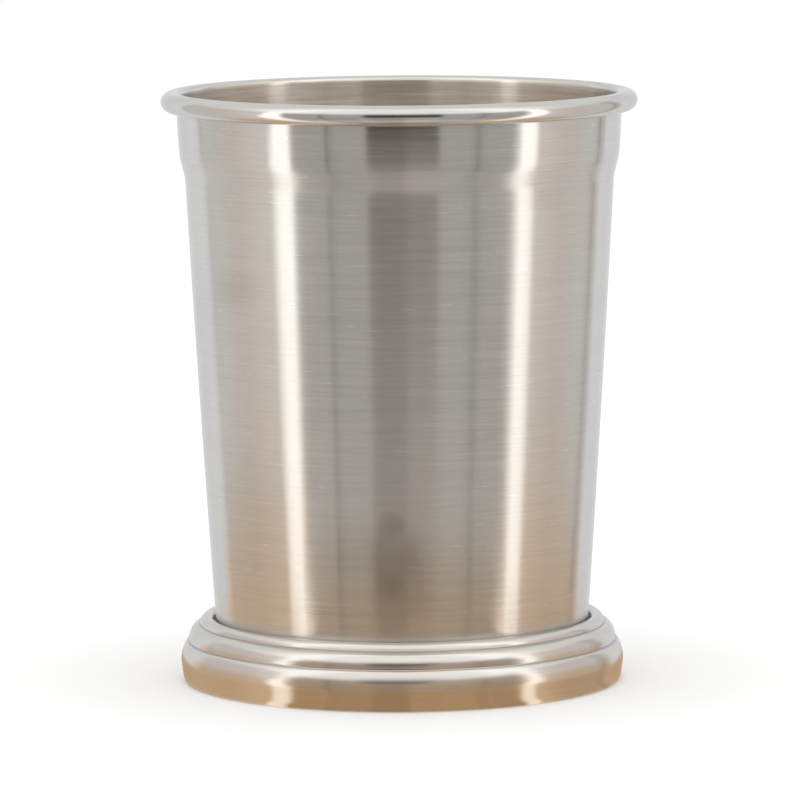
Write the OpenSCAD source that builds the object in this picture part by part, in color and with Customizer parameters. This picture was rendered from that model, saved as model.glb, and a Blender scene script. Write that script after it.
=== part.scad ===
// A pressed-steel julep cup: a tapered cup with a curled rim and a stacking shoulder,
// standing in a hollow stepped foot ring that a base plate closes underneath.
// The origin is the centre of the resting plane, with +Z up, in millimetres.

/* [Cup] */
// Height from the table to the top of the rim
cup_h = 108; // [96:0.5:124]
// Outer diameter of the upper band, at the height of the rim bead's centre
mouth_d = 81.2; // [72:0.2:92]
// Thickness of the sheet that the cup is drawn from
cup_sheet = 0.8; // [0.5:0.05:1.1]
// Diameter of the hollow bead that the rim is curled into
bead_d = 3.6; // [3:0.1:5]
// Gap between the wall and the tip of the curl
tip_gap = 0.15; // [0.05:0.05:0.3]
// Height from the top of the rim down to the stacking shoulder
band_h = 11.2; // [8:0.1:20]
// How much the upper band narrows over its height, on one side
band_draft = 0.55; // [0:0.05:1.5]
// Height of the stacking shoulder
shoulder_h = 5; // [2:0.1:10]
// How far the stacking shoulder steps in, on one side
shoulder_step = 1.05; // [0.4:0.05:2]
// How much the wall narrows from the shoulder down to the foot's top, on one side
wall_draft = 4.8; // [1:0.1:8]
// How far the middle of the wall bulges past a straight cone
wall_bow = 0.15; // [0:0.05:0.6]
// Height of the underside of the cup's floor above the table
floor_z = 6.2; // [5.4:0.1:6.8]
// Outer radius of the bend between wall and floor
floor_bend_r = 3; // [1.5:0.1:5]

/* [Foot ring] */
// Height of the foot ring
foot_h = 12; // [11:0.1:18]
// Thickness of the sheet that the foot ring is pressed from
foot_sheet = 0.7; // [0.5:0.05:0.8]
// Width of the crevice between the cup's wall and the foot's collar
crevice = 0.35; // [0.25:0.05:0.8]
// Width of the rounded lip around the top of the foot
lip_w = 2.55; // [2.5:0.05:4]
// Height of the lip above the groove around it
lip_h = 1.55; // [1.2:0.05:1.6]
// How far the rounded roll stands out past the lip
roll_out = 2.05; // [1.2:0.05:4]
// Height of the roll, from the groove down to the crease
roll_h = 3.1; // [1.6:0.05:3.2]
// How far the band stands out past the roll
band_out = 1.4; // [0.6:0.05:3]
// Height of the rounded crown over the band
crown_h = 3.65; // [2:0.05:5]
// How far the band draws in again at the base, on one side
base_draft = 0.4; // [0:0.05:1]
// Outer radius of the bend around the foot's bottom edge
hem_bend_r = 1; // [0.9:0.05:1.8]
// Width of the flat hem that is turned in under the foot
hem_w = 3.4; // [2:0.1:6]
// Width of the seat flange that carries the cup's floor
seat_w = 9; // [7:0.5:14]
// Inside radius of the bend between the collar and the seat flange
seat_bend_r = 1.2; // [0.8:0.1:1.4]

/* [Base plate] */
// Thickness of the base plate
plate_sheet = 0.6; // [0.4:0.05:0.8]
// Height of the rim turned up around the base plate
plate_rim_h = 2; // [1.6:0.1:2.8]
// Outer radius of the bends in the base plate
plate_bend_r = 0.9; // [0.85:0.05:1.2]
// Width of the flat land that lies on the foot's hem
plate_land_w = 6; // [4:0.5:10]
// Width of the slope between the land and the raised panel
plate_slope_w = 2.4; // [1.8:0.1:4]
// Height of the raised panel above the land
panel_rise = 0.8; // [0.3:0.1:1.2]

/* [Seam and welds] */
// Number of plug welds that join the seat flange to the cup's floor
weld_count = 6; // [4:1:12]
// Diameter of a plug weld
weld_d = 4; // [2.5:0.1:5]
// Width of the flange's edge inside the ring of plug welds
weld_edge = 1.5; // [1:0.1:3]
// How far a weld's crown laps over the flange around its hole
crown_lap = 0.7; // [0.3:0.1:1]
// Height of a weld's crown under the flange
crown_rise = 0.45; // [0.2:0.05:0.8]
// Clearance where curved faces meet
fit_gap = 0.04; // [0.02:0.01:0.08]

/* [Hidden] */
$fn = 180;
// Steps along an arc, the wall and the shoulder
arc_steps = 8;
curl_steps = 36;
wall_steps = 16;
shoulder_steps = 12;

// Heights on the cup
bead_r = bead_d / 2;
bead_z = cup_h - bead_r;
shoulder_top_z = cup_h - band_h;
shoulder_low_z = shoulder_top_z - shoulder_h;

// Outer radii of the cup
mouth_r = mouth_d / 2;
band_low_r = mouth_r - band_draft;
wall_top_r = band_low_r - shoulder_step;
wall_low_r = wall_top_r - wall_draft;
wall_run = shoulder_low_z - foot_h;

// The middle of the cup's sheet around the curl and the floor's bend
half_sheet = cup_sheet / 2;
band_lean = atan(band_draft / (bead_z - shoulder_top_z));
curl_r = bead_r - half_sheet;
curl_start_z = bead_z - curl_r * sin(band_lean);
curl_x = band_r(curl_start_z) - half_sheet + curl_r * cos(band_lean);
curl_tip = acos((bead_r - cup_sheet - tip_gap) / bead_r) - 180;
floor_mid_z = floor_z + half_sheet;
bend_mid_r = floor_bend_r - half_sheet;
wall_lean = atan((wall_r(foot_h) - wall_r(floor_z)) / (foot_h - floor_z));
bend_z = floor_mid_z + bend_mid_r;
bend_end_z = bend_z - bend_mid_r * sin(wall_lean);
bend_x = wall_r(bend_end_z) - half_sheet - bend_mid_r * cos(wall_lean);

// Heights and radii of the foot's visible face, from the lip down to the hem
lip_bend_r = lip_w - lip_h;
groove_z = foot_h - lip_h;
crease_z = groove_z - roll_h;
widest_z = crease_z - crown_h;
lip_in_r = wall_low_r + crevice;
lip_r = lip_in_r + lip_w;
roll_r = lip_r + roll_out;
foot_r = roll_r + band_out;
base_r = foot_r - base_draft;
hem_in_r = base_r - hem_bend_r - hem_w;
crown_r = (band_out * band_out + crown_h * crown_h) / (2 * band_out);
crown_sweep = asin(crown_h / crown_r);

// The foot's seat under the cup
seat_corner_r = wall_r(floor_z) + crevice;
seat_in_r = seat_corner_r - seat_w;
weld_r = weld_d / 2;
weld_circle_r = seat_in_r + weld_edge + weld_r;
weld_under_z = floor_z - foot_sheet;
weld_overrun = foot_sheet;

// The base plate inside the foot
plate_r = base_r - foot_sheet - fit_gap;
plate_z = foot_sheet;
plate_top_z = plate_z + plate_rim_h;
land_in_r = plate_r - plate_land_w;
panel_r = land_in_r - plate_slope_w;
panel_z = plate_z + panel_rise;

// The solder seam, on the straight stretch of the foot's collar between its two bends
collar_low_z = floor_z + seat_bend_r;
collar_top_z = foot_h - lip_bend_r;
seam_low_share = 0.45;
seam_top_share = 0.9;
seam_low_z = mix(collar_low_z, collar_top_z, seam_low_share);
seam_top_z = mix(collar_low_z, collar_top_z, seam_top_share);

// Geometry helpers

function mix(a, b, share) = a + (b - a) * share;

function unit(v) = v / norm(v);

// The direction to the right of a step from one point to the next
function right_of(a, b) = let (d = unit(b - a)) [d.y, -d.x];

// Points along an elliptical arc; first = 1 leaves out the point that the path already has
function arc(centre, rx, rz, from, to, steps = arc_steps, first = 0) = [
    for (i = [first:steps])
        let (angle = mix(from, to, i / steps))
        centre + [rx * cos(angle), rz * sin(angle)]
];

// A path moved to its right by a distance, with mitred corners
function moved(path, distance) = [
    for (i = [0:len(path) - 1])
        let (last = len(path) - 1)
        let (before = right_of(path[max(i - 1, 0)], path[max(i, 1)]))
        let (after = right_of(path[min(i, last - 1)], path[min(i + 1, last)]))
        let (middle = unit(before + after))
        path[i] + middle * distance / (middle * before)
];

// The outline of a sheet between a path moved to its left and the same path moved to its right
function sheet(path, left, right) = let (far = moved(path, right)) concat(
    moved(path, -left),
    [for (i = [len(far) - 1:-1:0]) far[i]]
);

// Outlines of the pieces, as radius and height

// Outer radius of the lower wall at a height
function wall_r(z) =
    let (share = (z - foot_h) / wall_run)
    mix(wall_low_r, wall_top_r, share) + 4 * wall_bow * share * (1 - share);

// Outer radius of the upper band at a height
function band_r(z) =
    mix(band_low_r, mouth_r, (z - shoulder_top_z) / (bead_z - shoulder_top_z));

// Outer radius of the shoulder, a cubic that meets the wall and the band at their own slopes
function shoulder_r(share) =
    let (wall_rise = shoulder_h * (wall_draft - 4 * wall_bow) / wall_run)
    let (band_rise = shoulder_h * tan(band_lean))
    let (blend = share * share * (3 - 2 * share))
    mix(wall_top_r, band_low_r, blend)
        + wall_rise * share * (1 - share) * (1 - share)
        - band_rise * share * share * (1 - share);

// The middle of the cup's sheet, from the floor's centre up to the curl's tip
function cup_path() = concat(
    [[0, floor_mid_z]],
    arc([bend_x, bend_z], bend_mid_r, bend_mid_r, -90, -wall_lean),
    [
        for (i = [1:wall_steps])
            let (z = mix(bend_end_z, shoulder_low_z, i / wall_steps))
            [wall_r(z) - half_sheet, z]
    ],
    [
        for (i = [1:shoulder_steps])
            let (share = i / shoulder_steps)
            [shoulder_r(share) - half_sheet, mix(shoulder_low_z, shoulder_top_z, share)]
    ],
    arc([curl_x, bead_z], curl_r, curl_r, 180 + band_lean, curl_tip, curl_steps)
);

// The foot's outer face, from the seat flange over the lip, the roll and the band to the hem
function foot_path() = concat(
    [[seat_in_r, floor_z]],
    arc(
        [seat_corner_r - seat_bend_r, floor_z + seat_bend_r],
        seat_bend_r, seat_bend_r, -90, -wall_lean
    ),
    arc([lip_in_r + lip_bend_r, foot_h - lip_bend_r], lip_bend_r, lip_bend_r, 180, 90),
    arc([lip_r - lip_h, groove_z], lip_h, lip_h, 90, 0, first = 1),
    arc([lip_r, crease_z], roll_out, roll_h, 90, 0, first = 1),
    arc([foot_r - crown_r, widest_z], crown_r, crown_r, crown_sweep, 0, first = 1),
    arc([base_r - hem_bend_r, hem_bend_r], hem_bend_r, hem_bend_r, 0, -90),
    [[hem_in_r, 0]]
);

// The base plate's underside, from its turned-up rim in to the raised panel
function plate_path() = concat(
    [[plate_r, plate_top_z]],
    arc([plate_r - plate_bend_r, plate_z + plate_bend_r], plate_bend_r, plate_bend_r, 0, -90),
    [
        for (i = [0:arc_steps])
            let (share = i / arc_steps)
            let (blend = share * share * (3 - 2 * share))
            [mix(land_in_r, panel_r, share), mix(plate_z, panel_z, blend)]
    ],
    [[0, panel_z]]
);

// The sub-parts

module cup_body() {
    color("#b9b4ad")
        rotate_extrude()
            polygon(sheet(cup_path(), half_sheet, half_sheet));
}

module foot_ring() {
    color("#c4b7a6")
        difference() {
            rotate_extrude()
                polygon(sheet(foot_path(), 0, foot_sheet));
            around_welds()
                translate([0, 0, weld_under_z - weld_overrun])
                    cylinder(r = weld_r + fit_gap, h = foot_sheet + 2 * weld_overrun);
        }
}

module base_plate() {
    color("#a9a7a4")
        rotate_extrude()
            polygon(sheet(plate_path(), 0, plate_sheet));
}

module seam_solder() {
    color("#8f9296")
        rotate_extrude()
            polygon([
                [wall_r(seam_low_z) + fit_gap, seam_low_z],
                [wall_r(seam_low_z) + crevice - fit_gap, seam_low_z],
                [wall_r(seam_top_z) + crevice - fit_gap, seam_top_z],
                [wall_r(seam_top_z) + fit_gap, seam_top_z]
            ]);
}

module floor_welds() {
    color("#7d7f82")
        around_welds()
            plug_weld();
}

// Repeats a shape at each plug weld
module around_welds() {
    for (i = [0:weld_count - 1])
        rotate([0, 0, i * 360 / weld_count])
            translate([weld_circle_r, 0, 0])
                children();
}

// One weld: a plug through the flange, with a domed crown under it
module plug_weld() {
    rotate_extrude()
        polygon(concat(
            [[0, floor_z], [weld_r, floor_z], [weld_r, weld_under_z]],
            arc([0, weld_under_z], weld_r + crown_lap, crown_rise, 0, -90)
        ));
}

cup_body();
foot_ring();
base_plate();
seam_solder();
floor_welds();
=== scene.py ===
"""A pressed-steel julep cup: a brushed cup with a curled rim and a stacking shoulder,
standing in a hollow stepped foot that a base plate closes underneath.

Laid out as an add-on: the sizes and finishes sit in property groups, and each operator
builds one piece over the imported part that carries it. The axis of the cup is the Z axis,
and every finished piece keeps its object at the origin with its place in its mesh.
"""
import math

import bpy
from bpy.props import FloatProperty, FloatVectorProperty, IntProperty, PointerProperty
from bpy.types import Operator, Panel, PropertyGroup
from mathutils import Matrix, Vector


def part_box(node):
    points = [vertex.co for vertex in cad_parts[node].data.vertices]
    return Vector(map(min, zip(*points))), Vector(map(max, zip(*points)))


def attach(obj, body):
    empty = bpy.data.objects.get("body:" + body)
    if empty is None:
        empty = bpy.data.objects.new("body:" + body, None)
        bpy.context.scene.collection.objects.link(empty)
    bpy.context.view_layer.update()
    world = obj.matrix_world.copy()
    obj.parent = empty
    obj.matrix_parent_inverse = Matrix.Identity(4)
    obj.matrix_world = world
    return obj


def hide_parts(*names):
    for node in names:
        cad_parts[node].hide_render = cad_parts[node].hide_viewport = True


bl_info = {
    "name": "Julep Cup",
    "version": (1, 0, 0),
    "blender": (4, 5, 0),
    "location": "3D View > Sidebar > Julep Cup",
    "description": "Builds a brushed-steel julep cup, its foot and the studio around it",
    "category": "Object",
}

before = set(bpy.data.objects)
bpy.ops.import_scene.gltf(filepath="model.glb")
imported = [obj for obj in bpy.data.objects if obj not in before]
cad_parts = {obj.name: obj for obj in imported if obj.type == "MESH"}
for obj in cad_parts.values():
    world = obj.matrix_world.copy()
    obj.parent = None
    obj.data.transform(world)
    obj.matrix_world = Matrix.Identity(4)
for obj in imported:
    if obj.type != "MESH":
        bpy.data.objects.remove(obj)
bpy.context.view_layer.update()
CUP_LOW, CUP_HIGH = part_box("cup_body")
FOOT_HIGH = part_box("foot_ring")[1]
PLATE_LOW, PLATE_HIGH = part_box("base_plate")


def length(name, description, default):
    """A size in metres, shown to a hundredth of a millimetre."""
    return FloatProperty(
        name=name, description=description, default=default,
        min=0.0, precision=5, subtype="DISTANCE", unit="LENGTH",
    )


def share(name, description, default):
    """A plain number between nothing and all."""
    return FloatProperty(
        name=name, description=description, default=default,
        min=0.0, max=1.0, precision=3, subtype="FACTOR",
    )


def tone(name, description, default):
    """A linear colour."""
    return FloatVectorProperty(
        name=name, description=description, default=default,
        min=0.0, max=1.0, size=3, subtype="COLOR",
    )


# Sizes and finishes


class CupSizes(PropertyGroup):
    """The drawn cup, its rim bead and its stacking shoulder."""

    height: length("Height", "Table to the top of the rim", CUP_HIGH.z)
    rim_radius: length("Rim radius", "Outside of the rim bead", CUP_HIGH.x)
    mouth_radius: length("Mouth radius", "Outside of the upper band, under the bead", 0.04045)
    sheet: length("Sheet", "Thickness of the drawn sheet", 0.0008)
    bead_height: length("Bead height", "Height of the curled bead", 0.0036)
    rim_bend: length("Rim bend", "Outer radius of the bend from the wall into the rim", 0.00095)
    tip_gap: length("Tip gap", "Gap between the wall and the tip of the curl", 0.00015)
    band_height: length("Band height", "Top of the rim down to the shoulder", 0.0112)
    band_draft: length("Band draft", "How far the upper band narrows to the shoulder", 0.0004)
    shoulder_height: length("Shoulder height", "Height of the stacking shoulder", 0.005)
    shoulder_step: length("Shoulder step", "How far the shoulder steps in", 0.00105)
    wall_draft: length("Wall draft", "How far the wall narrows down to the foot's top", 0.0048)
    wall_bow: length("Wall bow", "How far the middle of the wall bulges", 0.00015)
    floor_height: length("Floor height", "Table to the underside of the floor", CUP_LOW.z)
    floor_bend: length("Floor bend", "Outer radius of the bend between wall and floor", 0.003)


class FootSizes(PropertyGroup):
    """The hollow foot ring, the base plate and the welds that hold them."""

    height: length("Height", "Height of the foot ring", FOOT_HIGH.z)
    radius: length("Radius", "Widest radius of the foot", FOOT_HIGH.x)
    sheet: length("Sheet", "Thickness of the pressed sheet", 0.0007)
    crevice: length("Crevice", "Gap between the cup's wall and the collar", 0.00035)
    lip_width: length("Lip width", "Width of the rounded lip", 0.00255)
    lip_height: length("Lip height", "Height of the lip above the groove", 0.00155)
    roll_width: length("Roll width", "How far the roll stands out past the lip", 0.00205)
    roll_height: length("Roll height", "Groove down to the crease", 0.0031)
    band_width: length("Band width", "How far the band stands out past the roll", 0.0014)
    crown_height: length("Crown height", "Height of the rounded crown over the band", 0.00365)
    crown_bend: length("Crown bend", "Radius of the bend at the top of the crown", 0.0006)
    base_draft: length("Base draft", "How far the band draws in at the base", 0.0004)
    hem_bend: length("Hem bend", "Outer radius of the bend around the bottom edge", 0.001)
    hem_width: length("Hem width", "Width of the hem turned in underneath", 0.0034)
    seat_width: length("Seat width", "Width of the flange that carries the cup", 0.009)
    seat_bend: length("Seat bend", "Inside radius between collar and flange", 0.0012)
    crease_ease: length("Crease ease", "How far the pressed creases are rounded", 0.00022)
    weld_count: IntProperty(
        name="Welds", description="Plug welds through the seat flange", default=6, min=3, max=12
    )
    weld_radius: length("Weld radius", "Radius of a plug weld", 0.002)
    weld_gap: length("Weld gap", "Clearance around a plug weld", 0.00004)
    weld_lap: length("Weld lap", "How far a weld's crown laps over its edge", 0.0007)
    plate_radius: length("Plate radius", "Outside of the base plate's turned-up rim", PLATE_HIGH.x)
    plate_low: length("Plate height", "Underside of the plate's land", PLATE_LOW.z)
    plate_top: length("Plate rim", "Top of the plate's turned-up rim", PLATE_HIGH.z)
    plate_sheet: length("Plate sheet", "Thickness of the base plate", 0.0006)
    plate_bend: length("Plate bend", "Outer radius of the plate's bends", 0.0009)
    plate_land: length("Plate land", "Width of the flat land on the hem", 0.006)
    plate_slope: length("Plate slope", "Width of the slope up to the panel", 0.0024)
    panel_rise: length("Panel rise", "Height of the raised panel above the land", 0.0008)


class Finishes(PropertyGroup):
    """Colours and gloss of the metals."""

    cup_steel: tone("Cup steel", "Colour of the cup", (0.66, 0.64, 0.61))
    foot_steel: tone("Foot steel", "Colour of the foot", (0.68, 0.65, 0.61))
    plate_steel: tone("Plate steel", "Colour of the base plate", (0.6, 0.6, 0.59))
    solder: tone("Solder", "Colour of the solder seam", (0.42, 0.42, 0.43))
    weld_metal: tone("Weld metal", "Colour of the plug welds", (0.4, 0.39, 0.38))
    stain: tone("Stain", "Colour of a dried water mark", (0.5, 0.455, 0.4))
    scratch: tone("Scratch", "Colour of a fine bright scratch", (0.85, 0.84, 0.82))
    # Painted shade: dark colour laid into the foot's creases, where shade falls
    crease_shade: tone("Crease shade", "Colour of the dirt in a crease", (0.2, 0.18, 0.16))
    straw: tone("Straw tint", "Heat tint close to a weld", (0.52, 0.4, 0.24))
    blue: tone("Blue tint", "Heat tint around the straw one", (0.22, 0.26, 0.38))
    wall_roughness: share("Wall roughness", "Roughness of the brushed wall", 0.23)
    bead_roughness: share("Bead roughness", "Roughness of the polished bead", 0.15)
    foot_roughness: share("Foot roughness", "Roughness of the foot", 0.2)
    plate_roughness: share("Plate roughness", "Roughness of the base plate", 0.36)
    solder_roughness: share("Solder roughness", "Roughness of the solder", 0.5)
    weld_roughness: share("Weld roughness", "Roughness of the weld metal", 0.42)


class StudioSettings(PropertyGroup):
    """The floor, the reflected surroundings and the camera."""

    floor_radius: length("Floor radius", "Radius of the pale floor", 4.0)
    tent_start: length("Tent start", "Inner edge of the cards on the floor", 0.0392)
    tent_lift: length("Tent lift", "How far the cards lie above the floor", 0.00005)
    tent_radius: length("Tent radius", "Distance of the upright cards", 1.5)
    tent_height: length("Tent height", "Height of the upright cards", 0.9)
    roof_slope: share("Roof slope", "Rise of the roof over the cards, to its run", 0.7)
    wall_radius: length("Wall radius", "Radius of the wall that the cards are painted for", 0.038)
    near_card: length("Near card", "Distance of the low warm card in front", 0.067)
    far_card: length("Far card", "Distance of the low warm card at the sides", 0.112)
    card_height: length("Card height", "Height of the low warm cards", 0.024)
    lamp_height: length("Lamp height", "Floor to the soft lamp overhead", 1.6)
    lamp_forward: length("Lamp forward", "How far the lamp hangs towards the camera", 0.2)
    lamp_size: length("Lamp size", "Width of the soft lamp", 1.2)
    lamp_power: FloatProperty(
        name="Lamp power", description="Power of the lamp", default=4.0, min=0.0, unit="POWER"
    )
    camera_distance: length("Camera distance", "Camera to the middle of the cup", 1.163)
    camera_target: length("Camera target", "Height that the camera looks at", 0.05127)
    camera_aside: length("Camera aside", "How far the camera stands to the left", 0.000145)
    camera_rise: FloatProperty(
        name="Camera rise", description="Angle of the camera above the level",
        default=math.radians(6.63), subtype="ANGLE", unit="ROTATION",
    )
    camera_roll: FloatProperty(
        name="Camera roll", description="Turn of the camera about its own axis",
        default=math.radians(-0.336), subtype="ANGLE", unit="ROTATION",
    )
    lens: FloatProperty(name="Lens", description="Focal length", default=286.2, unit="CAMERA")
    turn_steps: IntProperty(
        name="Steps round", description="Steps around the axis", default=192, min=48, max=360
    )


# Outlines, as lists of points (radius, height) from which the pieces are turned

WALL_STEPS = SHOULDER_STEPS = 32
BAND_STEPS = SLOPE_STEPS = 16
EASE_ROUNDS = 32


def arc(centre, radii, start, end, steps=24):
    """Points along an elliptical arc between two angles in degrees."""
    (x, z), (wide, tall) = centre, radii
    angles = [math.radians(start + (end - start) * i / steps) for i in range(steps + 1)]
    return [Vector((x + wide * math.cos(a), z + tall * math.sin(a))) for a in angles]


def walked(path, step):
    """The same path with a point at each step of its length, and no point twice."""
    distance = [0.0]
    for a, b in zip(path, path[1:]):
        distance.append(distance[-1] + (b - a).length)
    return picked(path, distance, math.ceil(distance[-1] / step))


def picked(path, measure, count):
    """Points along a path at equal shares of a measure that grows along it."""
    points, i = [], 0
    for k in range(count + 1):
        wanted = measure[-1] * k / count
        while i < len(measure) - 2 and measure[i + 1] < wanted:
            i += 1
        span = measure[i + 1] - measure[i]
        at = min((wanted - measure[i]) / span, 1.0) if span else 0.0
        points.append(path[i].lerp(path[i + 1], at))
    return points


def eased(path, reach):
    """A finely walked path whose corners are rounded over a short reach, by averaging."""
    fine = walked(path, reach / 4)
    for _ in range(EASE_ROUNDS):
        fine = [fine[0]] + [
            (a + b * 2 + c) / 4 for a, b, c in zip(fine, fine[1:], fine[2:])
        ] + [fine[-1]]
    return fine


def beside(path, distance):
    """The path moved to its right by a distance."""
    moved = []
    for before, here, after in zip([path[0]] + path, path, path[1:] + [path[-1]]):
        along = (after - before).normalized()
        moved.append(here + Vector((along.y, -along.x)) * distance)
    return moved


def spaced(path, turn, run):
    """About one point for each turn, in degrees, and one for each run of length."""
    measure = [0.0]
    heading = path[1] - path[0]
    for a, b in zip(path, path[1:]):
        bend = heading.angle(b - a)
        heading = b - a
        measure.append(measure[-1] + math.degrees(bend) / turn + heading.length / run)
    return picked(path, measure, math.ceil(measure[-1]))


def shares(steps):
    """The shares of a run at each of its steps, without its start."""
    return [i / steps for i in range(1, steps + 1)]


def softened(at):
    """A share that leaves 0 and reaches 1 without a corner."""
    return at * at * (3 - 2 * at)


def wall_radius(cup, foot, z):
    """Outer radius of the wall below the shoulder."""
    low = cup.mouth_radius - cup.band_draft - cup.shoulder_step - cup.wall_draft
    at = (z - foot.height) / (cup.height - cup.band_height - cup.shoulder_height - foot.height)
    return low + cup.wall_draft * at + 4 * cup.wall_bow * at * (1 - at)


def cup_path(cup, foot):
    """The middle of the cup's sheet, from the floor's centre to the tip of the curl."""
    half = cup.sheet / 2
    shoulder_top = cup.height - cup.band_height
    shoulder_low = shoulder_top - cup.shoulder_height
    bead_z = cup.height - cup.bead_height / 2
    curl_rx = (cup.rim_radius - cup.mouth_radius) / 2
    curl_rz = cup.bead_height / 2 - half
    curl_x = cup.mouth_radius - half + curl_rx
    tip = math.degrees(math.acos(1 - (cup.sheet + cup.tip_gap) / (cup.bead_height / 2))) - 180
    floor_mid = cup.floor_height + half
    bend = cup.floor_bend - half
    lean = math.atan(
        (wall_radius(cup, foot, foot.height) - wall_radius(cup, foot, cup.floor_height))
        / (foot.height - cup.floor_height)
    )
    bend_end = floor_mid + bend - bend * math.sin(lean)
    bend_x = wall_radius(cup, foot, bend_end) - half - bend * math.cos(lean)

    path = [Vector((0, floor_mid))]
    path += arc((bend_x, floor_mid + bend), (bend, bend), -90, -math.degrees(lean))
    for at in shares(WALL_STEPS):
        z = bend_end + (shoulder_low - bend_end) * at
        path.append(Vector((wall_radius(cup, foot, z) - half, z)))
    wall_top = wall_radius(cup, foot, shoulder_low)
    band_low = cup.mouth_radius - cup.band_draft
    wall_rise = cup.shoulder_height * (cup.wall_draft - 4 * cup.wall_bow) / (shoulder_low - foot.height)
    band_rise = cup.shoulder_height * 2 * cup.band_draft / (bead_z - shoulder_top)
    for at in shares(SHOULDER_STEPS):
        radius = wall_top + (band_low - wall_top) * softened(at)
        radius += wall_rise * at * (1 - at) ** 2 - band_rise * at * at * (1 - at)
        path.append(Vector((radius - half, shoulder_low + cup.shoulder_height * at)))
    for at in shares(BAND_STEPS):
        radius = cup.mouth_radius - cup.band_draft * (1 - at) ** 2
        path.append(Vector((radius - half, shoulder_top + (bead_z - shoulder_top) * at)))
    rim_bend = cup.rim_bend - half
    path += arc(
        (curl_x - curl_rx + rim_bend, bead_z + curl_rz - rim_bend), (rim_bend, rim_bend), 180, 90
    )
    path += arc((curl_x, bead_z), (curl_rx, curl_rz), 90, tip, steps=60)
    return spaced(eased(path, reach=0.0002), turn=4.5, run=0.003)


def foot_path(cup, foot):
    """The middle of the foot's sheet, from the seat flange over the steps to the hem."""
    lip_bend = foot.lip_width - foot.lip_height
    groove = foot.height - foot.lip_height
    crease = groove - foot.roll_height
    widest = crease - foot.crown_height
    lip_in = wall_radius(cup, foot, foot.height) + foot.crevice
    lip = lip_in + foot.lip_width
    fall, out = foot.crown_height - foot.crown_bend, foot.band_width - foot.crown_bend
    sweep = 2 * math.atan(out / fall)
    crown = foot.crown_bend + fall / math.sin(sweep)
    sweep = math.degrees(sweep)
    base = foot.radius - foot.base_draft
    corner = wall_radius(cup, foot, cup.floor_height) + foot.crevice
    lean = math.degrees(math.atan((lip_in - corner) / (foot.height - cup.floor_height)))

    path = [Vector((corner - foot.seat_width, cup.floor_height))]
    path += arc(
        (corner - foot.seat_bend, cup.floor_height + foot.seat_bend),
        (foot.seat_bend, foot.seat_bend), -90, -lean,
    )
    path += arc((lip_in + lip_bend, foot.height - lip_bend), (lip_bend, lip_bend), 180, 90)
    path += arc((lip - foot.lip_height, groove), (foot.lip_height, foot.lip_height), 90, 0)
    path += arc((lip, crease), (foot.roll_width, foot.roll_height), 90, 0)
    path += arc(
        (foot.radius - foot.band_width, crease - foot.crown_bend),
        (foot.crown_bend, foot.crown_bend), 90, sweep,
    )
    path += arc((foot.radius - crown, widest), (crown, crown), sweep, 0)
    path += arc((base - foot.hem_bend, foot.hem_bend), (foot.hem_bend, foot.hem_bend), 0, -90)
    path += [Vector((base - foot.hem_bend - foot.hem_width, 0))]
    outer = walked(path, foot.crease_ease / 4)
    return spaced(beside(eased(outer, foot.crease_ease), foot.sheet / 2), turn=5, run=0.0012)


def plate_path(foot):
    """The middle of the base plate's sheet, from its turned-up rim to its centre."""
    bend, land_in = foot.plate_bend, foot.plate_radius - foot.plate_land
    path = [Vector((foot.plate_radius, foot.plate_top))]
    path += arc((foot.plate_radius - bend, foot.plate_low + bend), (bend, bend), 0, -90)
    for at in (0, *shares(SLOPE_STEPS)):
        height = foot.plate_low + foot.panel_rise * softened(at)
        path.append(Vector((land_in - foot.plate_slope * at, height)))
    path.append(Vector((0, foot.plate_low + foot.panel_rise)))
    return spaced(beside(walked(path, step=0.0001), foot.plate_sheet / 2), turn=6, run=0.002)


# Modelling steps

SEED_SIZE = 0.001
MERGE_REACH = 0.000005
CUT_EASE_SHARE = 0.18
DRILL_SIDES = 48
STUDIO_STEPS = 96


def select_only(obj):
    """Leaves one object selected and active, in object mode."""
    bpy.ops.object.select_all(action="DESELECT")
    obj.select_set(True)
    bpy.context.view_layer.objects.active = obj


def turned(name, path, steps):
    """A shell turned about the Z axis from a path of (radius, height) points."""
    bpy.ops.object.select_all(action="DESELECT")
    bpy.ops.mesh.primitive_plane_add(size=SEED_SIZE, location=(path[0].x, 0, path[0].y))
    shell = bpy.context.object
    shell.name = shell.data.name = name
    bpy.ops.object.mode_set(mode="EDIT")
    bpy.ops.mesh.select_mode(type="VERT")
    bpy.ops.mesh.merge(type="CENTER")
    for a, b in zip(path, path[1:]):
        step = (b.x - a.x, 0, b.y - a.y)
        bpy.ops.mesh.extrude_region_move(TRANSFORM_OT_translate={"value": step})
    bpy.ops.mesh.select_all(action="SELECT")
    bpy.ops.mesh.spin(
        steps=steps, angle=2 * math.pi, center=(0, 0, 0), axis=(0, 0, 1), use_auto_merge=True
    )
    bpy.ops.mesh.select_all(action="SELECT")
    bpy.ops.mesh.remove_doubles(threshold=MERGE_REACH)
    bpy.ops.mesh.normals_make_consistent(inside=False)
    bpy.ops.object.mode_set(mode="OBJECT")
    bpy.ops.object.transform_apply(location=True, rotation=True, scale=True)
    return shell


def apply_modifier(obj, kind, **settings):
    """Adds a modifier with its settings and applies it."""
    select_only(obj)
    bpy.ops.object.modifier_add(type=kind)
    modifier = obj.modifiers[-1]
    for key, value in settings.items():
        setattr(modifier, key, value)
    bpy.ops.object.modifier_apply(modifier=modifier.name)


def thicken(shell, sheet):
    """Gives a shell its sheet's thickness and eases the cut edges."""
    apply_modifier(shell, "SOLIDIFY", thickness=sheet, offset=0, use_even_offset=True)
    apply_modifier(
        shell, "BEVEL", width=sheet * CUT_EASE_SHARE, segments=2, limit_method="ANGLE",
        angle_limit=math.radians(60),
    )


def smooth(obj, angle=35):
    """Shades an object smooth, except over sharp edges."""
    select_only(obj)
    bpy.ops.object.shade_smooth_by_angle(angle=math.radians(angle))


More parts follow.
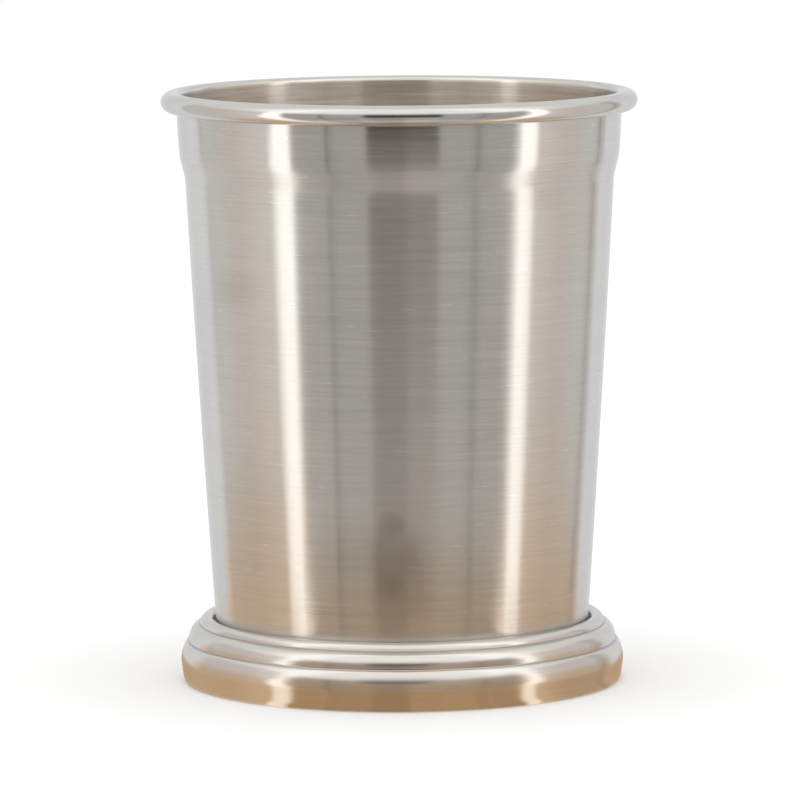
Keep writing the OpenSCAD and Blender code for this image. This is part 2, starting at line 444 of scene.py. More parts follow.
def drill_welds(shell, foot, circle, low, high):
    """Cuts the holes for the plug welds through the seat flange."""
    bits = []
    for i in range(foot.weld_count):
        angle = 2 * math.pi * i / foot.weld_count
        bpy.ops.object.select_all(action="DESELECT")
        bpy.ops.mesh.primitive_cylinder_add(
            vertices=DRILL_SIDES, radius=foot.weld_radius + foot.weld_gap, depth=high - low,
            location=(circle * math.cos(angle), circle * math.sin(angle), (low + high) / 2),
        )
        bits.append(bpy.context.object)
    for bit in bits:
        bit.select_set(True)
    bpy.ops.object.join()
    drill = bpy.context.object
    apply_modifier(shell, "BOOLEAN", operation="DIFFERENCE", object=drill, solver="EXACT")
    bpy.data.objects.remove(drill)


def dress(piece, node, material):
    """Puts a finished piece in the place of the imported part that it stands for."""
    piece.data.materials.clear()
    piece.data.materials.append(material)
    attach(piece, "root")
    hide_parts(node)


# Shader building


class Wire:
    """An output of a shader node, on which arithmetic adds Math nodes."""

    def __init__(self, shader, socket):
        self.shader = shader
        self.socket = socket

    def __add__(self, other):
        return self.shader.math("ADD", self, other)

    def __radd__(self, other):
        return self.shader.math("ADD", other, self)

    def __sub__(self, other):
        return self.shader.math("SUBTRACT", self, other)

    def __rsub__(self, other):
        return self.shader.math("SUBTRACT", other, self)

    def __mul__(self, other):
        return self.shader.math("MULTIPLY", self, other)

    def __rmul__(self, other):
        return self.shader.math("MULTIPLY", other, self)

    def __truediv__(self, other):
        return self.shader.math("DIVIDE", self, other)

    def __pow__(self, other):
        return self.shader.math("POWER", self, other)


class Shader:
    """A node tree that is being wired up."""

    def __init__(self, tree):
        self.tree = tree
        self.tree.nodes.clear()

    def node(self, kind, settings=None, inputs=None, output=0):
        """Adds a node: its settings first, then the values or wires of its inputs."""
        node = self.tree.nodes.new(kind)
        for key, value in (settings or {}).items():
            setattr(node, key, value)
        for key, value in (inputs or {}).items():
            if isinstance(value, Wire):
                self.tree.links.new(value.socket, node.inputs[key])
            else:
                node.inputs[key].default_value = value
        return Wire(self, node.outputs[output]) if node.outputs else None

    def math(self, operation, *values):
        """Adds a Math node."""
        return self.node("ShaderNodeMath", {"operation": operation}, dict(enumerate(values)))

    def object_place(self):
        """The X, Y and Z of the surface in the object's own space."""
        place = self.node("ShaderNodeTexCoord", output="Object")
        split = self.node("ShaderNodeSeparateXYZ", inputs={"Vector": place})
        return [Wire(self, split.socket.node.outputs[i]) for i in range(3)]

    def ramp(self, value, low, high, start=0.0, end=1.0):
        """A smooth climb from start to end while the value goes from low to high."""
        return self.node(
            "ShaderNodeMapRange", {"interpolation_type": "SMOOTHSTEP"},
            {"Value": value, "From Min": low, "From Max": high, "To Min": start, "To Max": end},
        )

    def fade(self, value, low, high, start=1.0):
        """A smooth fall from start to nothing while the value goes from low to high."""
        return self.ramp(value, low, high, start, 0.0)

    def window(self, value, low, high, soft):
        """1 where the value lies between low and high, with soft edges."""
        half = soft / 2
        return self.ramp(value, low - half, low + half) * self.fade(value, high - half, high + half)

    def blend(self, factor, a, b):
        """Colour a going over to colour b with the factor."""
        return self.node("ShaderNodeMix", {"data_type": "RGBA"}, {0: factor, 6: a, 7: b}, output=2)

    def scaled(self, colour, factor):
        """A colour times a number, which may be a wire."""
        return self.node("ShaderNodeVectorMath", {"operation": "SCALE"}, {0: colour, "Scale": factor})

    def tinted(self, colour, tint):
        """A colour times another, channel by channel."""
        return self.node("ShaderNodeVectorMath", {"operation": "MULTIPLY"}, {0: colour, 1: tint})

    def noise(self, vector, w, detail, roughness):
        """Noise of four dimensions, one feature to each unit."""
        return self.node(
            "ShaderNodeTexNoise", {"noise_dimensions": "4D"},
            {"Vector": vector, "W": w, "Scale": 1.0, "Detail": detail, "Roughness": roughness},
        )

    def streaks(self, place, radius, across, along, detail=3.0, seed=0.0):
        """Brush lines round the axis, about so wide across and so long."""
        x, y, z = place
        vector = self.node(
            "ShaderNodeCombineXYZ",
            inputs={0: radius / across + seed, 1: z / across, 2: x / along},
        )
        return self.noise(vector, y / along + seed, detail, 0.6)

    def clouds(self, place, size, detail=2.0, seed=0.0):
        """Soft blotches of about one size."""
        vector = self.node("ShaderNodeCombineXYZ", inputs={i: place[i] / size for i in range(3)})
        return self.noise(vector, seed, detail, 0.5)


def new_shader(name):
    """A new material, and the shader of its empty node tree."""
    material = bpy.data.materials.new(name)
    material.use_nodes = True
    return material, Shader(material.node_tree)


def rgba(colour):
    """A colour with full alpha."""
    return (*colour, 1.0)


def swing(noise, amount):
    """A noise made to go as far under zero as over it, times an amount."""
    return (noise - 0.5) * amount


MICRON = 0.000001
ROUND_THE_AXIS = 0.25

# Distances from the bead's middle between which its polish ends
POLISH_END = (0.0019, 0.0023)
# Depths under the outer face between which the inside begins
INSIDE_DEPTH = (0.0003, 0.0005)
# How far the outer face stands out past the wall's own line, above the shoulder
BAND_OUT = 0.0005
# Below and above the shoulder, where the upper band's finer brushing begins
BAND_START = (-0.002, 0.001)
# Y between which the front, where the water marks are, ends
FRONT_END = (-0.01, 0.0)
# Painted reflection: warmer colour laid on the inside, standing in for steel seen in steel
PAINTED_INSIDE_REFLECTION = (1.1, 1.0, 0.92)
# Levels of the noise between which a scratch shows, on the cup and on the foot
CUP_SCRATCHES = (0.76, 0.82)
FOOT_SCRATCHES = (0.8, 0.86)
# Distances from the bottom of a crease between which its painted shade ends
CREASE_SHADE_END = (0.0001, 0.0004)
# Distances from a weld's middle between which it goes to straw, and then to blue
STRAW_START = (0.0008, 0.0019)
BLUE_START = (0.0019, 0.0026)
# Phase of a weld's ripples, in radians for each metre
RIPPLE_PHASE = 9000


def metal(name, colour, anisotropy, texture):
    """A steel whose colour, gloss and bump come from a texture function.

    The function gets the shader, the place, the radius and the steel's colour, and returns
    the colour there, the roughness, and the height of the surface in microns.
    """
    material, s = new_shader(name)
    place = s.object_place()
    radius = (place[0] * place[0] + place[1] * place[1]) ** 0.5
    shade, gloss, height = texture(s, place, radius, tuple(colour))
    bump = s.node("ShaderNodeBump", inputs={"Strength": 1.0, "Distance": MICRON, "Height": height})
    surface = s.node(
        "ShaderNodeBsdfPrincipled",
        inputs={
            "Base Color": shade, "Metallic": 1.0, "Roughness": gloss, "Normal": bump,
            "Anisotropic": anisotropy, "Anisotropic Rotation": ROUND_THE_AXIS,
        },
    )
    s.node("ShaderNodeOutputMaterial", inputs={"Surface": surface})
    return material


# Dried water marks on the front: x, z, half width, half height, share that is full, strength
WATER_MARKS = (
    (-0.0011, 0.0276, 0.0046, 0.0073, 0.6, 0.26),
    (-0.0017, 0.0328, 0.0032, 0.0026, 0.3, 0.32),
    (-0.0024, 0.0221, 0.0029, 0.0026, 0.3, 0.34),
    (0.0015, 0.0275, 0.0019, 0.0050, 0.3, 0.22),
    (-0.0075, 0.0280, 0.0050, 0.0062, 0.3, 0.18),
    (0.0255, 0.0905, 0.0045, 0.0026, 0.1, 0.2),
    (-0.0292, 0.0743, 0.0050, 0.0050, 0.1, 0.3),
)
# Share of a mark's size at which it has faded, and how much its edge wanders
MARK_END = 1.15
MARK_WOBBLE = 0.5


def water_marks(s, place):
    """How strongly the dried water marks show: ellipses with a broken edge."""
    x, _, z = place
    wobble = s.clouds(place, size=0.004, detail=3.0, seed=11.0)
    stain = 0.0
    for mark_x, mark_z, wide, tall, core, strength in WATER_MARKS:
        off = (((x - mark_x) / wide) ** 2 + ((z - mark_z) / tall) ** 2) ** 0.5
        stain += s.fade(off + swing(wobble, MARK_WOBBLE), core, MARK_END, strength)
    return stain


def brushed_cup(cup, foot, finish):
    """The cup's steel: brushed round the wall, polished on the bead, lightly marked, and painted
    lighter and warmer inside as a painted reflection of steel in steel.
    """
    bead_radius = (cup.mouth_radius + cup.rim_radius) / 2
    bead_z = cup.height - cup.bead_height / 2
    shoulder = cup.height - cup.band_height

    def texture(s, place, radius, colour):
        _, y, z = place
        fine = s.streaks(place, radius, across=0.00025, along=0.011)
        broad = s.streaks(place, radius, across=0.0014, along=0.03, detail=2.0, seed=7.0)
        grain = s.streaks(place, radius, across=0.00016, along=0.0007, detail=1.0, seed=13.0)
        scratch = s.streaks(place, radius, across=0.00022, along=0.0026, detail=0.0, seed=29.0)
        cloud = s.clouds(place, size=0.018, seed=3.0)

        from_bead = ((radius - bead_radius) ** 2 + (z - bead_z) ** 2) ** 0.5
        polished = s.fade(from_bead, *POLISH_END)
        brushed = 1 - polished
        above = s.ramp(z, shoulder - cup.shoulder_height, shoulder, 0.0, BAND_OUT)
        depth = wall_radius(cup, foot, z) + above - radius
        inside = s.ramp(depth, *INSIDE_DEPTH) * brushed
        band = s.ramp(z - shoulder, *BAND_START) * (1 - inside)
        marks = s.ramp(scratch, *CUP_SCRATCHES) * brushed
        stain = water_marks(s, place) * s.fade(y, *FRONT_END) * (1 - inside)

        shade = 1 + (swing(fine, 0.2) + swing(broad, 0.1) + swing(cloud, 0.1)) * brushed
        # Inside: stronger brush lines, plus a painted lift of 0.11 standing in for light reflected
        # between the inner walls
        shade += (swing(fine, 0.4) + swing(broad, 0.35) + 0.11) * inside
        tint = s.scaled(colour, shade)
        # Painted reflection: the inside's colour is warmed half way, as steel seen in steel
        tint = s.blend(inside * 0.5, tint, s.tinted(tint, PAINTED_INSIDE_REFLECTION))
        tint = s.blend(stain, tint, rgba(finish.stain))
        tint = s.blend(marks * 0.5, tint, rgba(finish.scratch))
        rough = finish.wall_roughness + swing(broad, 0.08) + swing(fine, 0.06) - band * 0.05
        gloss = polished * finish.bead_roughness + brushed * rough + stain * 0.03
        height = swing(fine, 1.5 + inside * 0.8) + swing(grain, 1.3) + marks * 1.8
        return tint, gloss, height * brushed + swing(cloud, 12)

    return metal("cup_steel_brushed", finish.cup_steel, 1.0, texture)


def satin_foot(foot, finish):
    """The foot's steel: satin over the steps, fine turning lines, painted shade in the creases."""
    roll = foot.radius - foot.band_width
    groove = foot.height - foot.lip_height
    creases = ((roll - foot.roll_width, groove), (roll, groove - foot.roll_height))

    def texture(s, place, radius, colour):
        z = place[2]
        fine = s.streaks(place, radius, across=0.0002, along=0.008, seed=3.0)
        broad = s.streaks(place, radius, across=0.0011, along=0.03, detail=2.0, seed=17.0)
        scratch = s.streaks(place, radius, across=0.0002, along=0.002, detail=0.0, seed=31.0)
        cloud = s.clouds(place, size=0.014, seed=9.0)
        marks = s.ramp(scratch, *FOOT_SCRATCHES)
        tint = s.scaled(colour, 1 + swing(fine, 0.1) + swing(broad, 0.1) + swing(cloud, 0.06))
        tint = s.blend(marks * 0.4, tint, rgba(finish.scratch))
        # Painted shade: each crease is darkened towards its bottom, where shade falls
        for crease_r, crease_z in creases:
            off = ((radius - crease_r) ** 2 + (z - crease_z) ** 2) ** 0.5
            painted_shade = s.fade(off + swing(cloud, 0.0001), *CREASE_SHADE_END, start=0.6)
            tint = s.blend(painted_shade, tint, rgba(finish.crease_shade))
        gloss = finish.foot_roughness + swing(broad, 0.08) + swing(fine, 0.06)
        return tint, gloss, swing(fine, 0.8) + marks + swing(cloud, 8)

    return metal("foot_steel_satin", finish.foot_steel, 0.35, texture)


def ringed_plate(finish):
    """The base plate's steel: brushed in rings, dull, with blotches in its tone and gloss."""

    def texture(s, place, radius, colour):
        fine = s.streaks(place, radius, across=0.0003, along=0.01, seed=5.0)
        broad = s.streaks(place, radius, across=0.0018, along=0.05, detail=2.0, seed=19.0)
        cloud = s.clouds(place, size=0.012, detail=3.0, seed=21.0)
        tint = s.scaled(colour, 1 + swing(fine, 0.18) + swing(broad, 0.16) + swing(cloud, 0.12))
        gloss = finish.plate_roughness + swing(broad, 0.12) + swing(cloud, 0.1)
        return tint, gloss, swing(fine, 2.0) + swing(cloud, 10)

    return metal("plate_steel_ringed", finish.plate_steel, 0.8, texture)


def dull_solder(finish):
    """Solder: grey, lumpy and dull."""

    def texture(s, place, radius, colour):
        lumps = s.clouds(place, size=0.0009, detail=3.0, seed=2.0)
        film = s.clouds(place, size=0.004, seed=23.0)
        tint = s.scaled(colour, 0.85 + swing(lumps, 0.4) + swing(film, 0.3))
        return tint, finish.solder_roughness + swing(film, 0.3), swing(lumps, 60)

    return metal("solder_dull", finish.solder, 0.0, texture)


def weld_bloom(foot, finish):
    """Weld metal: rippled crowns with straw and blue heat tint towards their edges."""
    circle = weld_circle(foot)
    half_step = math.pi / foot.weld_count

    def texture(s, place, radius, colour):
        off = s.math("PINGPONG", s.math("ARCTAN2", place[1], place[0]), half_step)
        away = ((radius - circle) ** 2 + (off * circle) ** 2) ** 0.5
        ripple = s.math("SINE", away * RIPPLE_PHASE)
        lumps = s.clouds(place, size=0.0006, detail=3.0, seed=4.0)
        tint = s.blend(s.ramp(away, *STRAW_START), rgba(colour), rgba(finish.straw))
        tint = s.blend(s.ramp(away, *BLUE_START), tint, rgba(finish.blue))
        tint = s.scaled(tint, 0.9 + swing(lumps, 0.4))
        return tint, finish.weld_roughness + swing(lumps, 0.3), ripple * 12 + swing(lumps, 25)

    return metal("weld_heat_tinted", finish.weld_metal, 0.0, texture)


def weld_circle(foot):
    """Radius of the circle that the plug welds stand on."""
    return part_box("floor_welds")[1].x - foot.weld_radius - foot.weld_lap


# Operators


class BuildCup(Operator):
    """Turns the cup from its sheet's middle line, thickens it and finishes it"""

    bl_idname = "julep.build_cup"
    bl_label = "Build cup"

    def execute(self, context):
        scene = context.scene
        sizes, foot = scene.julep_cup, scene.julep_foot
        cup = turned("cup", cup_path(sizes, foot), scene.julep_studio.turn_steps)
        thicken(cup, sizes.sheet)
        smooth(cup)
        dress(cup, "cup_body", brushed_cup(sizes, foot, scene.julep_finish))
        return {"FINISHED"}


class BuildFoot(Operator):
    """Turns the stepped foot ring, drills its seat flange and finishes it"""

    bl_idname = "julep.build_foot"
    bl_label = "Build foot"

    def execute(self, context):
        scene = context.scene
        sizes = scene.julep_foot
        foot = turned("foot", foot_path(scene.julep_cup, sizes), scene.julep_studio.turn_steps)
        thicken(foot, sizes.sheet)
        seat = scene.julep_cup.floor_height
        drill_welds(foot, sizes, weld_circle(sizes), seat - 2 * sizes.sheet, seat + sizes.sheet)
        smooth(foot)
        dress(foot, "foot_ring", satin_foot(sizes, scene.julep_finish))
        return {"FINISHED"}


class BuildBase(Operator):
    """Turns the base plate with its land and raised panel and finishes it"""

    bl_idname = "julep.build_base"
    bl_label = "Build base plate"

    def execute(self, context):
        scene = context.scene
        base = turned("base", plate_path(scene.julep_foot), scene.julep_studio.turn_steps)
        thicken(base, scene.julep_foot.plate_sheet)
        smooth(base)
        dress(base, "base_plate", ringed_plate(scene.julep_finish))
        return {"FINISHED"}


class FinishJoins(Operator):
    """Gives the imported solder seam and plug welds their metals"""

    bl_idname = "julep.finish_joins"
    bl_label = "Finish seam and welds"

    def execute(self, context):
        scene = context.scene
        metals = {
            "seam_solder": dull_solder(scene.julep_finish),
            "floor_welds": weld_bloom(scene.julep_foot, scene.julep_finish),
        }
        for node, material in metals.items():
            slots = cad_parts[node].data.materials
            slots.clear()
            slots.append(material)
        return {"FINISHED"}


class BuildStudio(Operator):
    """Lays the floor, sets the lights and the reflected cards and aims the camera"""

    bl_idname = "julep.build_studio"
    bl_label = "Build studio"

    def execute(self, context):
        studio = context.scene.julep_studio
        lay_floor(studio)
        raise_tent(studio)
        light_world(context.scene)
        hang_softbox(studio)
        aim_camera(context.scene, studio)
        context.scene.view_settings.view_transform = "Standard"
        return {"FINISHED"}


# The studio


def lay_floor(studio):
    """A pale floor that takes the shadow, and that can be looked through from below."""
    bpy.ops.object.select_all(action="DESELECT")
    radius = studio.floor_radius
    bpy.ops.mesh.primitive_circle_add(vertices=STUDIO_STEPS, radius=radius, fill_type="NGON")
    floor = bpy.context.object
    floor.name = "floor"
    material, s = new_shader("floor_pale")
    below = s.node("ShaderNodeNewGeometry", output="Backfacing")
    matt = s.node("ShaderNodeBsdfDiffuse", inputs={"Color": (0.98, 0.98, 0.98, 1.0)})
    clear = s.node("ShaderNodeBsdfTransparent")
    mixed = s.node("ShaderNodeMixShader", inputs={0: below, 1: matt, 2: clear})
    s.node("ShaderNodeOutputMaterial", inputs={"Surface": mixed})
    floor.data.materials.append(material)
    floor.visible_glossy = False


# Where a low card's outer side meets the floor, as a share of its distance
CARD_FOOT_SHARE = 1.004

# Directions on the cards are in degrees round from the camera, as the steel reflects them.
# Distances are from the cup's axis: the cards far out on the floor show high on the wall,
# the near ones low, and the upright ones in the bead and in the foot's steps. The rise is
# the height as a share of the tent's radius. Values go to Shader's ramp, fade and window.
FRONT = (-58, 63)
FRONT_SOFT = 3
FRONT_WARM_SOFT = 24
MIDDLE_RIGHT = 20.5
MIDDLE_SOFT = 4
BACK_LEFT = (-130.5, -127.5)
BACK_RIGHT = (134, 137)
RIGHT_STRIP = (66.2, 76.5)
STRIP_SOFT = 3.0

# Edges that shift with the distance: low and high distance, and the direction at each
MIDDLE_LEFT = (0.26, 0.34, -19.5, -17)
LEFT_STRIP_OUT = (0.5, 0.9, -72.6, -69)
LEFT_STRIP_IN = (0.18, 0.37, -61.8, -59.2)

# Shift of the strips that the foot reflects, the left one and the right one's two edges,
# and how much softer they are there
FOOT_SHIFT_LEFT = 1.6
FOOT_SHIFT_RIGHT = (-1.3, -3.5)
FOOT_SOFTER = 2

# The foot reflects what is within a short reach: the distance and three times the height
HEIGHT_WEIGHT = 3
FOOT_REACH = (0.075, 0.085)
CLOSE = (0.06, 0.075)

# Heights on the upright part of a low card, and distances between which the low cards end
UPRIGHT = (0.0004, 0.035, 0.0002)
LOW_CARDS_END = (0.2, 0.21)
# Distances between the near and the far low card, and heights between which both end
BETWEEN_CARDS = (0.085, 0.09)
CARD_EDGE = (0.0165, 0.0185)

# Rise at which the roof starts, and the directions in which it starts lower
ROOF_START = (0.49, 0.65)
ROOF_LOWER = (22, 62, 10)
ROOF_LOWER_BY = 0.09

# Brightness of the plain cards, and how it changes behind, in front and at the sides
PLAIN_LIGHT = 0.72
BEHIND_LIGHT = 0.165
FRONT_SHADE = 0.195
BACK_SHADE = (134, 158, 0.0, -0.11)
SIDE_LIGHT = (78, 100, 0.1)

# Panels: low and high direction, softness of the edges, and change of the light
PANELS = (
    (124, 134, 3, -0.09),
    (-39, -34, 2, -0.05),
    (38, 45, 2, -0.06),
    (-15, 3.5, 5, -0.075),
    (3.5, 20, 4, 0.03),
)
# The same for panels that show only on the lower wall
LOW_PANELS = (
    (-58, -20, 4, -0.045),
    (21, 60, 4, -0.03),
    (-34, -20, 4, -0.03),
    (47, 62, 3, -0.05),
)
LOW_PANELS_END = (0.28, 0.36)
# The same for a panel close to the cup, and the light beside the middle there
CLOSE_PANELS = ((82, 128, 12, -0.1),)
CLOSE_FRONT_LIGHT = 0.075
# The same by distance, for rings in front and in its middle
FRONT_RINGS = (
    (0.12, 0.4, 0.1, -0.03),
    (0.09, 0.14, 0.03, 0.22),
)
MIDDLE_RINGS = ((0.27, 0.42, 0.06, 0.07),)
# Thin dark lines: direction, depth, and the reach from which they show
DARK_LINES = (
    (-38.2, 0.2, 0.056),
    (41.5, 0.14, 0.085),
    (128.2, 0.3, 0.056),
    (-125.5, 0.12, 0.085),
)
LINE_HALF = 0.8
LINE_FADE = 0.012

# Light of the strips, by distance
STRIP_LIGHT = (0.044, 0.066, 0.5, 0.84)
# The dark far part in front: the distance where it starts, its top, and how dark it is
FAR_START = (0.37, 0.62)
FAR_TOP = (0.34, 0.44)
FAR_MIDDLE_SHADE = 0.86
FAR_FRONT_SHADE = 0.1
# Brightness of the roof, by direction, and the brighter part of it
ROOF_LIGHT = (70, 120, 1.18, 0.88)
ROOF_PANELS = ((50, 78, 14, 0.3),)
# The dark top of the low card in front: its directions, its low edge, and how dark it is
CARD_TOP = (-20, 14, 8)
CARD_TOP_START = (0.0135, 0.015)
CARD_TOP_SHADE = 0.92

# Colours of the cards: plain, warmer, behind the cup, overhead, and the warm cards' own
PALE = (1.0, 0.98, 0.955, 1.0)
PALE_WARM = (1.02, 0.935, 0.89, 1.0)
PALE_BEHIND = (0.975, 0.99, 1.02, 1.0)
OVERHEAD = (0.99, 1.0, 0.98, 1.0)
WARM_SIDES = (0.93, 0.66, 0.42, 1.0)
WARM_FRONT = (0.95, 0.63, 0.36, 1.0)
WARM_PALER = (0.92, 0.73, 0.56, 1.0)

# Directions in which the plain cards are warmer
WARMER_FRONT = (-17, 18, 8)
WARMER_SIDES = (78, 108, 16)
# How far the warm floor goes past the far low card, and the shares between which it ends
WARM_PAST_CARD = 1.1
WARM_END = (0.88, 1.2)
# What is less warm: the floor behind, the strips, and the low cards behind
COOL_BACK = (128, 144)
COOL_BACK_START = (0.07, 0.09)
COOL_STRIPS = 0.75
FOOT_COOL_STRIPS = -0.25
COOL_CARD_BACK = (95, 128)
COOL_CARD_START = (0.004, 0.012, 0.0, 0.6)
# How the warm colour gets paler, by distance and by height
PALER_FLOOR = (0.05, 0.067, 0.0, 0.45)
PALER_CARD = (0.001, 0.012, 0.0, 0.55)

# How much narrower than the painted radius the wall is just over the foot, and the
# distances between which that ends
LOW_WALL_IN = 0.0018
LOW_WALL_END = (0.075, 0.12)
# The nearest that a card is painted for, and the rounds that find a direction
NEAREST = 0.95
FACING_ROUNDS = 5


def tent_path(studio):
    """The cards' outline: over the floor, up and down each low card, up and over the cup."""
    low, outer = studio.tent_lift, studio.tent_radius
    path = [(studio.tent_start, low)]
    for card in (studio.near_card, studio.far_card):
        path += [(card, low), (card, studio.card_height), (card * CARD_FOOT_SHARE, low)]
    path += [(outer, low), (outer, studio.tent_height)]
    path.append((0, studio.tent_height + outer * studio.roof_slope))
    return [Vector(point) for point in path]


def raise_tent(studio):
    """Cards around the cup that only its reflections see."""
    tent = turned("reflected_cards", tent_path(studio), STUDIO_STEPS)
    for sight in ("camera", "diffuse", "shadow", "transmission"):
        setattr(tent, "visible_" + sight, False)
    material, s = new_shader("reflected_cards")
    material.cycles.emission_sampling = "NONE"
    cards = Cards(s, studio)
    colour = s.scaled(cards.tint(), cards.light())
    glow = s.node("ShaderNodeEmission", inputs={"Color": colour, "Strength": 1.0})
    clear = s.node("ShaderNodeBsdfTransparent")
    solid = s.node("ShaderNodeMixShader", inputs={0: cards.gaps(), 1: glow, 2: clear})
    s.node("ShaderNodeOutputMaterial", inputs={"Surface": solid})
    tent.data.materials.append(material)


class Cards:
    """What the cards show at a point, by its distance, height and direction."""

    def __init__(self, s, studio):
        x, y, z = s.object_place()
        self.s, self.studio, self.z = s, studio, z
        self.radius = radius = (x * x + y * y) ** 0.5
        self.reach = radius + z * HEIGHT_WEIGHT
        self.rise = z / studio.tent_radius
        self.turn = turn = self.facing(x, y)
        self.aside = s.math("ABSOLUTE", turn)
        self.at_foot = s.fade(self.reach, *FOOT_REACH)
        self.close = s.fade(radius, *CLOSE)
        self.upright = s.window(z, *UPRIGHT) * s.fade(radius, *LOW_CARDS_END)
        self.behind = s.fade(turn, *BACK_LEFT) + s.ramp(turn, *BACK_RIGHT)
        self.front = s.window(turn, *FRONT, FRONT_SOFT)
        self.front_warm = s.window(turn, *FRONT, FRONT_WARM_SOFT)
        self.middle = s.window(turn, s.ramp(radius, *MIDDLE_LEFT), MIDDLE_RIGHT, MIDDLE_SOFT)
        self.strips = self.bright_strips()
        lower = s.window(self.aside, *ROOF_LOWER) * ROOF_LOWER_BY
        self.roof = s.ramp(self.rise + lower, *ROOF_START)

    def facing(self, x, y):
        """The direction that the steel reflects a point from, in degrees from the camera.

        A ray leaves the wall at twice the angle of the wall's own facing, so a near card
        has to be painted a little further round than a far one to show at the same place.
        """
        s, wall = self.s, self.studio.wall_radius
        place = s.math("ARCTAN2", x, 0 - y)
        mirror = s.ramp(self.reach, *FOOT_REACH, FOOT_HIGH.x - wall, -LOW_WALL_IN)
        mirror = wall + mirror + s.ramp(self.radius, *LOW_WALL_END, 0.0, LOW_WALL_IN)
        near = s.math("MINIMUM", mirror / self.radius, NEAREST)
        turn = place
        for _ in range(FACING_ROUNDS):
            half = s.math("SINE", turn * 0.5)
            turn = place + s.math("ARCSINE", near * half)
        return turn * math.degrees(1)

    def bright_strips(self):
        """The two bright strips at the sides of the front."""
        s, foot = self.s, self.at_foot
        soft = STRIP_SOFT + foot * FOOT_SOFTER
        low = s.ramp(self.radius, *LEFT_STRIP_OUT) + foot * FOOT_SHIFT_LEFT
        high = s.ramp(self.radius, *LEFT_STRIP_IN) + foot * FOOT_SHIFT_LEFT
        left = s.window(self.turn, low, high, soft)
        low, high = (edge + foot * by for edge, by in zip(RIGHT_STRIP, FOOT_SHIFT_RIGHT))
        return left + s.window(self.turn, low, high, soft)

    def changes(self, value, table):
        """The change of the light by all windows of a table."""
        change = 0.0
        for low, high, soft, amount in table:
            change += self.s.window(value, low, high, soft) * amount
        return change

    def light(self):
        """How bright the cards are."""
        s, turn, aside, radius = self.s, self.turn, self.aside, self.radius
        front, middle = self.front, self.middle
        light = PLAIN_LIGHT + self.behind * (1 - self.close) * BEHIND_LIGHT
        light += s.ramp(aside, *BACK_SHADE)
        light += s.fade(aside, *SIDE_LIGHT) * (1 - front) - front * FRONT_SHADE
        light += self.changes(turn, PANELS)
        light += self.changes(turn, LOW_PANELS) * s.fade(radius, *LOW_PANELS_END)
        light += self.changes(radius, FRONT_RINGS) * front
        light += self.changes(radius, MIDDLE_RINGS) * middle
        for at, depth, start in DARK_LINES:
            line = s.window(turn, at - LINE_HALF, at + LINE_HALF, LINE_HALF)
            light -= line * s.ramp(self.reach, start, start + LINE_FADE) * depth
        beside = front * (1 - middle) * CLOSE_FRONT_LIGHT
        light += self.close * (beside + self.changes(turn, CLOSE_PANELS))
        light += self.strips * s.ramp(radius, *STRIP_LIGHT)
        far = s.ramp(radius, *FAR_START) * s.fade(self.rise, *FAR_TOP)
        light *= 1 - far * (middle * FAR_MIDDLE_SHADE + front * FAR_FRONT_SHADE)
        above = s.ramp(aside, *ROOF_LIGHT) + self.changes(aside, ROOF_PANELS)
        light = s.node("ShaderNodeMix", inputs={0: self.roof, 2: light, 3: above})
        top = s.window(turn, *CARD_TOP) * s.ramp(self.z, *CARD_TOP_START)
        return light * (1 - self.upright * top * CARD_TOP_SHADE)

    def tint(self):
        """The colour of the cards: pale, and warm close to the cup and on the low cards."""
        s, turn, aside, radius = self.s, self.turn, self.aside, self.radius
        warmer = s.window(turn, *WARMER_FRONT) + s.window(aside, *WARMER_SIDES)
        pale = s.blend(warmer, PALE, PALE_WARM)
        pale = s.blend(self.behind, pale, PALE_BEHIND)

        outer = self.studio.far_card * WARM_PAST_CARD
        edge = outer - self.front_warm * (outer - self.studio.near_card)
        warmth = s.math("MAXIMUM", s.fade(radius / edge, *WARM_END), self.upright)
        warmth *= 1 - s.ramp(aside, *COOL_BACK) * s.ramp(radius, *COOL_BACK_START)
        warmth *= 1 - self.strips * (COOL_STRIPS + self.at_foot * FOOT_COOL_STRIPS)
        warmth *= 1 - s.ramp(aside, *COOL_CARD_BACK) * s.ramp(self.z, *COOL_CARD_START)
        paler = s.ramp(radius, *PALER_FLOOR) + s.ramp(self.z, *PALER_CARD)
        warm = s.blend(self.front, WARM_SIDES, WARM_FRONT)
        warm = s.blend(paler, warm, WARM_PALER)
        return s.blend(self.roof, s.blend(warmth, pale, warm), OVERHEAD)

    def gaps(self):
        """1 where an upright card isn't there: over its edge, or outside its directions."""
        nearer = self.s.fade(self.radius, *BETWEEN_CARDS)
        there = nearer * self.front_warm + (1 - nearer) * (1 - self.front_warm)
        return self.upright * (1 - there * self.s.fade(self.z, *CARD_EDGE))


def light_world(scene):
    """White to the eye, in the metal and on the floor."""
    world = bpy.data.worlds.new("studio_air")
    scene.world = world
    world.use_nodes = True
    s = Shader(world.node_tree)
    air = s.node("ShaderNodeBackground", inputs={"Color": (1, 1, 1, 1), "Strength": 1.0})
    s.node("ShaderNodeOutputWorld", inputs={"Surface": air})


def hang_softbox(studio):
    """One broad soft lamp overhead, for a faint shadow on the floor."""
    bpy.ops.object.select_all(action="DESELECT")
    place = (0, -studio.lamp_forward, studio.lamp_height)
    bpy.ops.object.light_add(type="AREA", location=place)
    lamp = bpy.context.object
    lamp.name = "softbox"
    lamp.data.shape = "DISK"
    lamp.data.size = studio.lamp_size
    lamp.data.energy = studio.lamp_power
    lamp.visible_glossy = False
    lamp.visible_camera = False


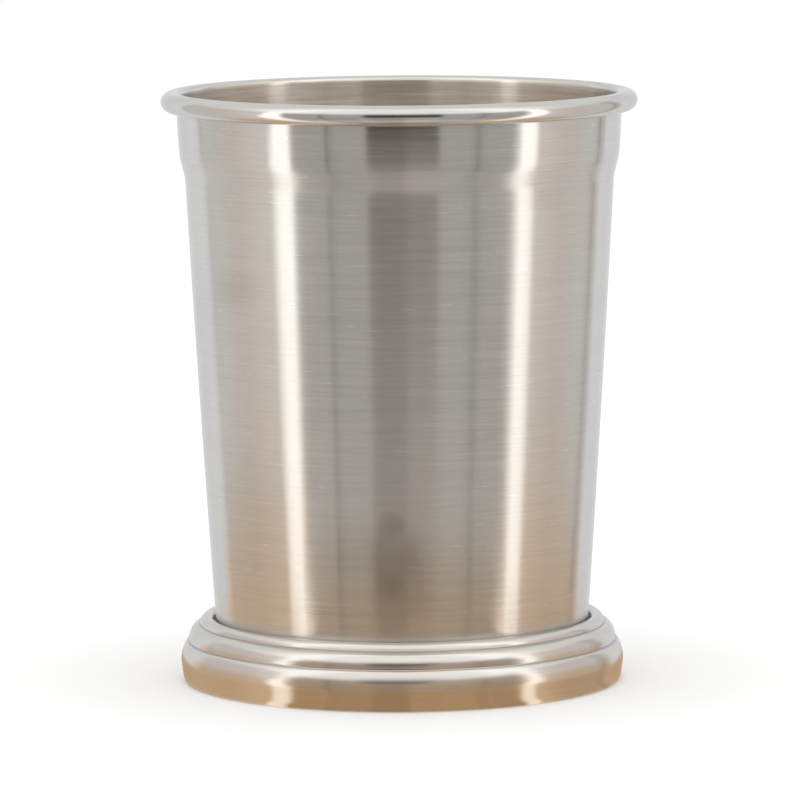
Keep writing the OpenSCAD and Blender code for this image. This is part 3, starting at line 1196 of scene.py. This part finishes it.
def aim_camera(scene, studio):
    """The camera at the photograph's angle, with the cup in the same place."""
    tilt = studio.camera_rise
    camera = bpy.data.objects.new("camera", bpy.data.cameras.new("camera"))
    scene.collection.objects.link(camera)
    camera.data.lens = studio.lens
    camera.data.sensor_width = 36
    camera.data.clip_start = 0.01
    camera.data.clip_end = 20
    place = Vector((
        -studio.camera_aside,
        -studio.camera_distance * math.cos(tilt),
        studio.camera_target + studio.camera_distance * math.sin(tilt),
    ))
    camera.matrix_world = (
        Matrix.Translation(place)
        @ Matrix.Rotation(math.pi / 2 - tilt, 4, "X")
        @ Matrix.Rotation(studio.camera_roll, 4, "Z")
    )
    scene.camera = camera


class JulepCupPanel(Panel):
    """Lists the sizes and the steps that build the cup"""

    bl_idname = "JULEP_PT_cup"
    bl_label = "Julep Cup"
    bl_space_type = "VIEW_3D"
    bl_region_type = "UI"
    bl_category = "Julep Cup"

    def draw(self, context):
        scene = context.scene
        for operator in OPERATORS:
            self.layout.operator(operator.bl_idname)
        for name in GROUPS:
            box = self.layout.box()
            settings = getattr(scene, name)
            for key in settings.bl_rna.properties.keys():
                if key not in ("rna_type", "name"):
                    box.prop(settings, key)


GROUPS = {
    "julep_cup": CupSizes,
    "julep_foot": FootSizes,
    "julep_finish": Finishes,
    "julep_studio": StudioSettings,
}
OPERATORS = (BuildCup, BuildFoot, BuildBase, FinishJoins, BuildStudio)


def register():
    for kind in (*GROUPS.values(), *OPERATORS, JulepCupPanel):
        bpy.utils.register_class(kind)
    for name, kind in GROUPS.items():
        setattr(bpy.types.Scene, name, PointerProperty(type=kind))


def unregister():
    for name in GROUPS:
        delattr(bpy.types.Scene, name)
    for kind in (JulepCupPanel, *reversed(OPERATORS), *reversed(GROUPS.values())):
        bpy.utils.unregister_class(kind)


def main():
    """Builds everything in order."""
    register()
    bpy.ops.julep.build_cup()
    bpy.ops.julep.build_foot()
    bpy.ops.julep.build_base()
    bpy.ops.julep.finish_joins()
    bpy.ops.julep.build_studio()


if __name__ == "__main__":
    main()
